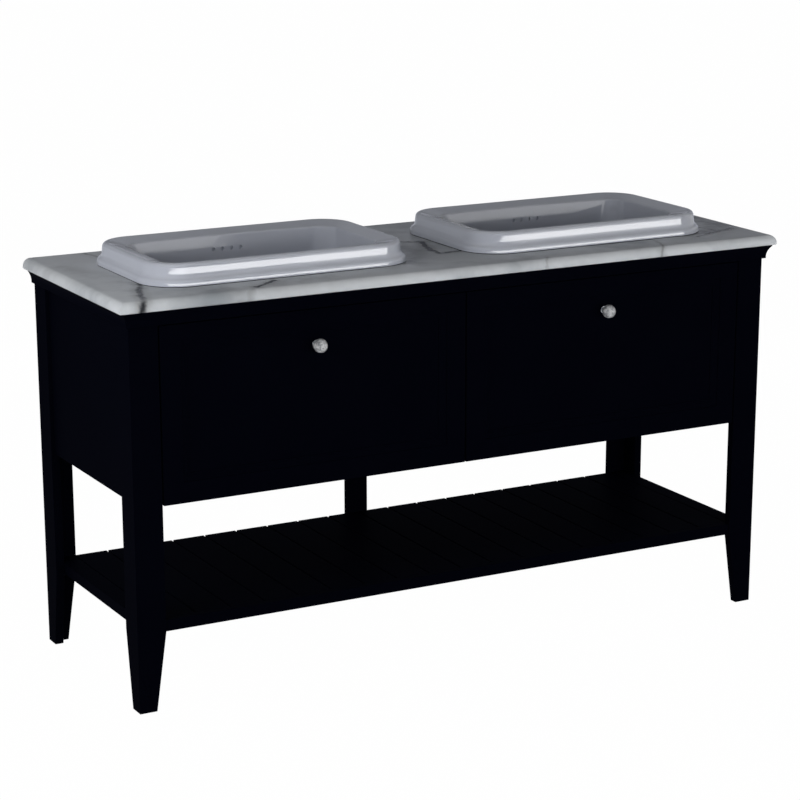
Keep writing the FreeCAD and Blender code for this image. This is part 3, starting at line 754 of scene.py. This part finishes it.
@dataclass
class Knob:
    """A turned stone ball on a plated neck with a collar and a rose."""

    neck: float = 4.5 * MM
    collar: float = 6.0 * MM
    collar_length: float = 2.0 * MM
    collar_front: Point = (0.4 * MM, 0.5 * MM)
    collar_back: float = 0.5 * MM
    collar_step: float = 0.2 * MM
    flare: float = 0.8 * MM
    rose_thickness: float = 2.5 * MM
    rose_round: float = 1.2 * MM
    rose_steps: int = 4
    steps: int = 20
    facets: int = 64
    crease_deg: float = 40.0

    def turned(self, profile: Sequence[Point], x: float, z: float) -> BMesh:
        """Turn a profile round a line along Y.

        Args:
            profile: points as the distance from the line, and the place along Y.
            x: the line's place across.
            z: the line's height.

        Returns:
            The turned form.
        """
        form = bmesh.new()
        rings = []
        for radius, y in profile:
            turns = sweep(0.0, 2 * math.pi, self.facets)[:-1] if radius > TINY else [0.0]
            rings.append([form.verts.new((x + radius * math.cos(t), y, z + radius * math.sin(t)))
                          for t in turns])
        for first, second in zip(rings, rings[1:]):
            join_rows(form, first, second)
        return form

    def stem(self, front: float, back: float, rose: float) -> list[Point]:
        """Trace the collar, the neck and the rose.

        Args:
            front: the place of the collar's front face along Y.
            back: the place of the rose's back face.
            rose: the rose's radius.

        Returns:
            Points as the distance from the middle, and the place along Y.
        """
        shoulder = back - self.rose_thickness
        collar_end = front + self.collar_length
        line = [(0.0, front), (self.collar - self.collar_front[0], front),
                (self.collar, front + self.collar_front[1]), (self.collar, collar_end - self.collar_back),
                (self.collar - self.collar_back, collar_end),
                (self.neck, collar_end + self.collar_step), (self.neck, shoulder - self.flare),
                (self.neck + self.flare, shoulder)]
        line += [(rose - self.rose_round * (1 - math.sin(t)), shoulder + self.rose_round * (1 - math.cos(t)))
                 for t in sweep(0.0, QUARTER, self.rose_steps)]
        return line + [(rose, back), (0.0, back)]

    def build(self, side: str) -> None:
        """Build one drawer's knob.

        Args:
            side: left or right.
        """
        low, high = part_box(f"{side}_knob")
        radius = (high.x - low.x) / 2
        x, z = (low.x + high.x) / 2, (low.z + high.z) / 2
        centre = low.y + radius
        seat = math.acos((high.y - centre) / radius)
        turns = sweep(math.pi, seat, self.steps)
        ball = [(radius * math.sin(t), centre + radius * math.cos(t)) for t in turns]
        near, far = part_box(f"{side}_knob_neck")
        stem = self.stem(near.y, far.y, (far.x - near.x) / 2)
        for part, profile, finish, node in (("ball", ball + [(0.0, high.y)], KNOB_STONE, f"{side}_knob"),
                                            ("stem", stem, CHROME, f"{side}_knob_neck")):
            put_piece(f"{side}_knob_{part}", self.turned(profile, x, z), finish, f"{side}_drawer", node,
                      self.crease_deg)


@dataclass
class Drawer:
    """A framed front with a moulded panel, its birch box, its knob and its runners."""

    boards: EasedBoards = field(default_factory=EasedBoards)
    knob: Knob = field(default_factory=Knob)
    front_ease: float = 0.6 * MM
    box_ease: float = 0.8 * MM

    def build(self, side: str) -> None:
        """Build one drawer.

        Args:
            side: left or right.
        """
        self.boards.build(f"{side}_drawer_front", LACQUER[Grain.ALONG_X], self.front_ease)
        for part in ("outer_side", "inner_side"):
            self.boards.build(f"{side}_drawer_{part}", BIRCH[Grain.ALONG_Y], self.box_ease)
        for part in ("bottom", "back"):
            self.boards.build(f"{side}_drawer_{part}", BIRCH[Grain.ALONG_X], self.box_ease)
        self.knob.build(side)
        for place in ("outer", "inner"):
            for member in ("cabinet", "middle", "drawer"):
                dress(f"{side}_{place}_runner_{member}_member", ZINC)


@dataclass
class Washbasin:
    """An inset basin of cast china with its waste: a nosed foot, a rolled rim falling inward, a deep bowl.

    Heights are counted from the worktop's face, insets from the foot.
    """

    fittings: tuple[tuple[str, Finish], ...] = (("waste", CHROME), ("waste_plug", CHROME),
                                                ("waste_nut", BRASS), ("waste_seal", RUBBER))
    corner: float = 85 * MM
    nose: float = 9 * MM
    nose_rise: float = 3 * MM
    nose_flat: float = 3.5 * MM
    cove: float = 13 * MM
    turn: float = math.radians(58)
    lean: float = math.radians(6.5)
    height: float = 44 * MM
    roll: float = 9 * MM
    fall: float = math.radians(8.5)
    lip: float = 5 * MM
    lip_at: Point = (55.5 * MM, 36.8 * MM)
    wall_lean: float = math.radians(8.63)
    shell_lean: float = math.atan(0.25)
    shell_inset: float = 42.4 * MM
    floor: float = -84 * MM
    bend: float = 55 * MM
    bowl_corner: float = 34 * MM
    floor_corner: float = 52 * MM
    loosen: float = 1.33
    shell_corner: float = 46 * MM
    bow: float = 0.1
    bow_from: float = 26 * MM
    bowl_flat: float = 6 * MM
    china: float = 11 * MM
    recess: Point = (32.3 * MM, 2.5 * MM)
    bore: float = 22.5 * MM
    boss: Point = (40 * MM, -120 * MM)
    hole_radius: float = 4 * MM
    hole_depth: float = 5 * MM
    hole_level: float = 8 * MM
    hole_pitch: float = 20 * MM
    holes: int = 4
    hole_steps: int = 32
    ducts: tuple[tuple[Place, Place], ...] = (
        ((-41 * MM, 126 * MM, -118 * MM), (41 * MM, 136.8 * MM, 8 * MM)),
        ((-18 * MM, 0.0, -118 * MM), (18 * MM, 136.8 * MM, -89.5 * MM)),
    )
    steps: int = 14
    corner_steps: int = 20
    side_steps: int = 8
    margin: float = 2 * MM
    holds: tuple[float, ...] = (0.04, 0.5, 0.96)
    crease_deg: float = 32.0

    def arc(self, centre: Point, radius: float, start: float, end: float) -> list[Point]:
        """Trace an arc of the section, hollow below a radius of zero, by angles up from straight outward."""
        return [(centre[0] - radius * math.cos(t), centre[1] + radius * math.sin(t))
                for t in sweep(start, end, self.steps)]

    def straight(self, start: Point, end: Point) -> list[Point]:
        """Give the points within a straight run that hold its shade flat to both ends."""
        return [(start[0] + (end[0] - start[0]) * share, start[1] + (end[1] - start[1]) * share)
                for share in self.holds]

    def outer_section(self) -> list[Ring]:
        """Trace the foot, the outer face and the roll.

        Returns:
            Insets, heights and corner radii.
        """
        tuck = -math.asin(self.nose_rise / self.nose)
        under = self.arc((self.nose, self.nose_rise), self.nose, tuck, self.lean)
        shift = Vector((math.sin(self.lean), math.cos(self.lean))) * self.nose_flat
        over = self.arc((self.nose + shift.x, self.nose_rise + shift.y), self.nose, self.lean, self.turn)
        nose = under + self.straight(under[-1], over[0]) + over
        hollow = (nose[-1][0] - self.cove * math.cos(self.turn),
                  nose[-1][1] + self.cove * math.sin(self.turn))
        cove = self.arc(hollow, -self.cove, self.turn, self.lean)
        roll_z = self.height - self.roll
        face_top = cove[-1][0] + (roll_z - cove[-1][1]) * math.tan(self.lean)
        roll_inset = face_top + self.roll / math.cos(self.lean)
        roll = self.arc((roll_inset, roll_z), self.roll, self.lean, QUARTER + self.fall)
        face = nose + cove[1:] + self.straight(cove[-1], roll[0]) + roll
        return [(inset, z, self.corner - inset) for inset, z in face]

    def bowl_corner_at(self, inset: float) -> float:
        """Give the bowl's corner radius at an inset: it opens down the wall to that of the floor."""
        return min(self.bowl_corner + self.loosen * max(inset - self.lip_at[0], 0.0), self.floor_corner)

    def inner_section(self, start: Ring) -> list[Ring]:
        """Trace the rim's fall, the lip, the bowl's wall and its rounded floor.

        Args:
            start: the end of the roll.

        Returns:
            Insets, heights and corner radii.
        """
        up = Vector((math.sin(self.fall), math.cos(self.fall)))
        inward = Vector((math.cos(self.wall_lean), math.sin(self.wall_lean)))
        back = (up + inward) * (self.lip / (1 + up.dot(inward)))
        centre = (self.lip_at[0] - back.x, self.lip_at[1] - back.y)
        lip = self.arc(centre, self.lip, QUARTER + self.fall, math.pi - self.wall_lean)
        bend_z = self.floor + self.bend
        drop = self.lip_at[1] - bend_z
        bend_inset = self.lip_at[0] + drop * math.tan(self.wall_lean) + self.bend / math.cos(self.wall_lean)
        bend = self.arc((bend_inset, bend_z), self.bend, -self.wall_lean, -QUARTER)
        rings = []
        for inset, z in self.straight(start[:2], lip[0]):
            share = (inset - start[0]) / (lip[0][0] - start[0])
            rings.append((inset, z, start[2] + (self.bowl_corner - start[2]) * share))
        inner = lip + self.straight(lip[-1], bend[0]) + bend + [(bend_inset + self.margin, self.floor)]
        for inset, z in inner:
            rings.append((inset, z, self.bowl_corner_at(inset)))
        return rings

    def shell_section(self, half_depth: float) -> list[Ring]:
        """Trace the underside of the bowl from its floor out to the foot.

        Args:
            half_depth: half the basin's depth.

        Returns:
            Insets, heights and corner radii.
        """
        bend_z = self.floor + self.bend
        radius = self.bend + self.china
        reach = self.shell_inset + (self.height - bend_z) * math.tan(self.shell_lean)
        centre = (reach + radius / math.cos(self.shell_lean), bend_z)
        bend = self.arc(centre, radius, -QUARTER, -self.shell_lean)
        top = (self.shell_inset + self.height * math.tan(self.shell_lean), 0.0)
        line = [(bend[0][0] + self.margin, bend[0][1])] + bend + self.straight(bend[-1], top) + [top]
        return [(inset, z, min(self.shell_corner, half_depth - inset - self.bowl_flat)) for inset, z in line]

    def outline(self, half: Vector, ring: Ring) -> list[Vector]:
        """Trace one level outline, with its long sides bowed where it lies inside the rim.

        Args:
            half: half the basin's width and depth.
            ring: its inset, height and corner radius.

        Returns:
            Its points about the drain.
        """
        inset, z, radius = ring
        reach = half.x - inset
        share = min(max((inset - self.bow_from) / (self.lip_at[0] - self.bow_from), 0.0), 1.0)
        corners = corner_arcs(half, inset, radius, self.corner_steps)
        points = []
        for corner, following in zip(corners, corners[1:] + corners[:1]):
            near = self.margin / (following[0] - corner[-1]).length
            places = [near] + [i / self.side_steps for i in range(1, self.side_steps)] + [1 - near]
            points += corner + [corner[-1].lerp(following[0], place) for place in places]
        for point in points:
            point.y *= 1 - self.bow * share * (point.x / reach) ** 2
            point.z = z
        return points

    def cast(self, half: Vector) -> BMesh:
        """Cast the basin about its drain.

        Args:
            half: half its width and depth.

        Returns:
            The closed form, without its overflow.
        """
        outside = self.outer_section()
        inside = self.inner_section(outside[-1])
        plans = [self.outline(half, ring) for ring in outside + inside]
        spread = [math.atan2(point.y, point.x) for point in plans[-1]]
        seat = self.floor - self.recess[1]
        for radius, z in ((self.recess[0], self.floor), (self.recess[0], seat), (self.bore, seat),
                          (self.bore, self.boss[1]), self.boss, (self.boss[0], self.floor - self.china)):
            plans.append([Vector((radius * math.cos(t), radius * math.sin(t), z)) for t in spread])
        plans += [self.outline(half, ring) for ring in self.shell_section(half.y)]
        form = bmesh.new()
        rows = [[form.verts.new(point) for point in plan] for plan in plans]
        for first, second in zip(rows, rows[1:] + rows[:1]):
            join_rows(form, first, second)
        return form

    def drilled(self, name: str, form: BMesh, half: Vector) -> BMesh:
        """Sink the overflow's holes into the back wall.

        Args:
            name: the name for the working meshes.
            form: the cast basin.
            half: half its width and depth.

        Returns:
            The drilled basin.
        """
        wall = half.y - self.lip_at[0] - (self.lip_at[1] - self.hole_level) * math.tan(self.wall_lean)
        drill = bmesh.new()
        for i in range(self.holes):
            x = (i - (self.holes - 1) / 2) * self.hole_pitch
            place = Matrix.Translation((x, wall, self.hole_level)) @ Matrix.Rotation(QUARTER, 4, "X")
            bmesh.ops.create_cone(drill, cap_ends=True, segments=self.hole_steps, radius1=self.hole_radius,
                                  radius2=self.hole_radius, depth=2 * self.hole_depth, matrix=place)
        solids = []
        for part, working in ((f"{name}_cast", form), (f"{name}_drill", drill)):
            solids.append(add_object(part, mesh_of(part, working)))
        cut = solids[0].modifiers.new("overflow", "BOOLEAN")
        cut.operation = "DIFFERENCE"
        cut.object = solids[1]
        result = bmesh.new()
        result.from_object(solids[0], bpy.context.evaluated_depsgraph_get())
        for solid in solids:
            mesh = solid.data
            bpy.data.objects.remove(solid)
            bpy.data.meshes.remove(mesh)
        return result

    def build(self, side: str) -> None:
        """Build one basin with its overflow ducts, and dress what is fixed in it.

        Args:
            side: left or right.
        """
        node = f"{side}_basin"
        low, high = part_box(node)
        half = (high - low) / 2
        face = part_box("marble_top")[1].z
        form = self.drilled(node, self.cast(half), half)
        for start, end in (map(Vector, duct) for duct in self.ducts):
            place = Matrix.Translation((start + end) / 2) @ Matrix.Diagonal((*(end - start), 1.0))
            bmesh.ops.create_cube(form, size=1.0, matrix=place)
        bmesh.ops.translate(form, verts=form.verts, vec=((low.x + high.x) / 2, (low.y + high.y) / 2, face))
        put_piece(f"{node}_china", form, CERAMIC, "cabinet", node, self.crease_deg)
        for part, finish in self.fittings:
            dress(f"{side}_{part}", finish)


class Role(Enum):
    """What a soft box does, as the kind of ray that sees it."""

    LIGHT = "diffuse"
    SHINE = "glossy"


@dataclass(frozen=True)
class SoftBox:
    """One soft box: its role, where it hangs, the point it faces, its width and height, and its brightness.

    White paper in full light has a brightness of one.
    """

    name: str
    role: Role
    place: Place
    aim: Place
    size: Point
    radiance: float


@dataclass(frozen=True)
class Flag:
    """An upright flag that only gloss sees: its ends in plan, its height, its darkest and palest level."""

    name: str
    start: Point
    end: Point
    height: float
    darkest: float
    palest: float


@dataclass
class Studio:
    """The pale floor, the soft boxes, the flags that only gloss sees, and the camera."""

    floor_side: float = 60.0
    floor_colour: str = "#EDEDED"
    backdrop_share: float = 0.993
    ambient: float = 0.035
    boxes: tuple[SoftBox, ...] = (
        SoftBox("front_panel", Role.LIGHT, (0.25, -2.9, 0.9), (0.25, 0.0, 0.9), (5.5, 0.9), 2.8),
        SoftBox("front_upper", Role.LIGHT, (0.25, -2.9, 1.75), (0.25, 0.0, 0.9), (5.5, 0.6), 0.6),
        SoftBox("front_shine", Role.SHINE, (-0.3, -2.76, 0.89), (-0.3, 0.0, 0.89), (6.6, 0.15), 10.0),
        SoftBox("front_glow", Role.SHINE, (1.98, -2.76, 1.85), (1.98, 0.0, 1.85), (2.04, 1.7), 1.8),
        SoftBox("left_far_box", Role.LIGHT, (-2.6, -0.8, 1.45), (-0.4, 0.0, 0.8), (2.2, 2.2), 0.12),
        SoftBox("left_near_box", Role.LIGHT, (-1.75, -0.4, 1.2), (-0.6, 0.0, 0.85), (0.9, 0.9), 3.3),
        SoftBox("low_right_box", Role.LIGHT, (3.0, 0.9, 0.45), (0.75, 0.0, 0.45), (2.0, 0.7), 1.5),
        SoftBox("low_rear_box", Role.LIGHT, (0.0, 3.0, 0.42), (0.0, 0.0, 0.42), (4.0, 0.6), 1.5),
    )
    flags: tuple[Flag, ...] = (
        Flag("rear_flag", (-4.5, 1.6), (4.5, 1.6), 3.4, 0.38, 0.62),
        Flag("left_flag", (-3.7, -2.85), (-3.7, 1.2), 3.4, 0.15, 0.2),
        Flag("front_flag", (-3.7, -2.85), (0.95, -2.85), 3.4, 0.35, 0.45),
    )
    flag_colour: str = "#EEF2FF"
    flag_dark_z: float = 1.17
    flag_grade: Point = (0.04, 0.3)
    eye: Place = (-2.4165, -4.432, 1.752)
    yaw_deg: float = 28.631
    pitch_deg: float = -15.713
    roll_deg: float = -0.03
    focal_px: float = 2465.5
    centre_px: Point = (411.3, 473.2)
    sensor_mm: float = 36.0

    def seen_directly(self, add: Adder) -> Source:
        """Tell rays that see the background as it is from rays that only carry light.

        Args:
            add: adds a node to the material or world.

        Returns:
            A value that is one for camera, glossy and transmission rays.
        """
        path = add("LightPath")
        kinds = [path.outputs[f"Is {kind} Ray"] for kind in ("Camera", "Glossy", "Transmission")]
        return reduce(lambda one, other: add("Math", {"operation": "MAXIMUM"}, {0: one, 1: other}), kinds)

    def sheet(self, name: str, corners: Sequence[Place], finish: str) -> tuple[Object, Adder]:
        """Put up a flat sheet that belongs to the studio and not to the object.

        Args:
            name: the sheet's name.
            corners: its corners in order.
            finish: the name of its material.

        Returns:
            The sheet, and the function that adds a node to its material.
        """
        mesh = bpy.data.meshes.new(name)
        mesh.from_pydata(corners, [], [tuple(range(len(corners)))])
        panel = add_object(name, mesh)
        cover = bpy.data.materials.new(finish)
        mesh.materials.append(cover)
        return panel, bare_nodes(cover)

    def build_world(self) -> None:
        """Make the world: dim for light, white where it is seen."""
        world = bpy.data.worlds.new("studio")
        bpy.context.scene.world = world
        add = bare_nodes(world)
        level = add("MapRange", {"To Min": self.ambient, "To Max": 1.0}, {"Value": self.seen_directly(add)})
        sky = add("Background", {"Color": linear(WHITE)}, {"Strength": level})
        add("OutputWorld", links={"Surface": sky})

    def build_floor(self) -> None:
        """Lay the floor, almost white to the eye, with a trace of the object's shadow."""
        half = self.floor_side / 2
        corners = [(-half, -half, 0.0), (half, -half, 0.0), (half, half, 0.0), (-half, half, 0.0)]
        add = self.sheet("floor", corners, "matt_floor_paper")[1]
        matt = add("BsdfDiffuse", {"Color": linear(self.floor_colour)})
        glow = add("Emission", {"Color": linear(WHITE), "Strength": 1.0})
        share = add("Math", {"operation": "MULTIPLY", 1: self.backdrop_share}, {0: self.seen_directly(add)})
        both = add("MixShader", links={0: share, 1: matt, 2: glow})
        add("OutputMaterial", links={"Surface": both})

    def build_light(self, box: SoftBox) -> None:
        """Hang one soft box.

        Args:
            box: the soft box.
        """
        data = bpy.data.lights.new(box.name, "AREA")
        data.shape = "RECTANGLE"
        data.size, data.size_y = box.size
        data.energy = box.radiance * math.pi * box.size[0] * box.size[1]
        lamp = add_object(box.name, data)
        lamp.location = box.place
        lamp.rotation_euler = (Vector(box.aim) - Vector(box.place)).to_track_quat("-Z", "Y").to_euler()
        for ray in ("camera", "diffuse", "glossy"):
            setattr(lamp, f"visible_{ray}", ray == box.role.value)

    def build_flag(self, flag: Flag) -> None:
        """Stand one flag where only reflections see it, to keep glare off the polished faces.

        Args:
            flag: the flag.
        """
        ends = (flag.start, flag.end)
        corners = [(*end, 0.0) for end in ends] + [(*end, flag.height) for end in reversed(ends)]
        panel, add = self.sheet(flag.name, corners, f"{flag.name}_cloth")
        for ray in ("camera", "diffuse", "shadow", "transmission", "volume_scatter"):
            setattr(panel, f"visible_{ray}", False)
        where = add("TexCoord").outputs["Object"]
        height = add("SeparateXYZ", links={0: where}).outputs["Z"]
        away = add("Math", {"operation": "SUBTRACT", 1: self.flag_dark_z}, {0: height})
        apart = add("Math", {"operation": "ABSOLUTE"}, {0: away})
        level = add("MapRange", SMOOTH | {"From Min": self.flag_grade[0], "From Max": self.flag_grade[1],
                                          "To Min": flag.darkest, "To Max": flag.palest}, {"Value": apart})
        glow = add("Emission", {"Color": linear(self.flag_colour)}, {"Strength": level})
        add("OutputMaterial", links={"Surface": glow})

    def build_camera(self) -> None:
        """Set the camera at the photograph's view."""
        yaw, pitch, roll = (math.radians(a) for a in (self.yaw_deg, self.pitch_deg, self.roll_deg))
        ahead = Vector((math.sin(yaw) * math.cos(pitch), math.cos(yaw) * math.cos(pitch), math.sin(pitch)))
        level = ahead.cross(Vector((0, 0, 1))).normalized()
        right = Matrix.Rotation(-roll, 3, ahead) @ level
        up = right.cross(ahead)
        data = bpy.data.cameras.new("camera")
        data.sensor_width = self.sensor_mm
        data.lens = self.focal_px / IMAGE_SIDE * self.sensor_mm
        data.shift_x = (IMAGE_SIDE / 2 - self.centre_px[0]) / IMAGE_SIDE
        data.shift_y = (self.centre_px[1] - IMAGE_SIDE / 2) / IMAGE_SIDE
        camera = add_object("camera", data)
        camera.matrix_world = Matrix.Translation(self.eye) @ Matrix((right, up, -ahead)).transposed().to_4x4()
        bpy.context.scene.camera = camera

    def build(self) -> None:
        """Set up the world, the floor, the lights, the flags and the camera."""
        bpy.context.scene.view_settings.view_transform = "Standard"
        self.build_world()
        self.build_floor()
        for box in self.boxes:
            self.build_light(box)
        for flag in self.flags:
            self.build_flag(flag)
        self.build_camera()


def main() -> None:
    """Build the vanity unit piece by piece, then the studio."""
    logging.basicConfig(level=logging.INFO, format="%(message)s")
    Cabinet().build()
    Worktop().build()
    for side in SIDES:
        Washbasin().build(side)
        Drawer().build(side)
    Studio().build()


if __name__ == "__main__":
    main()
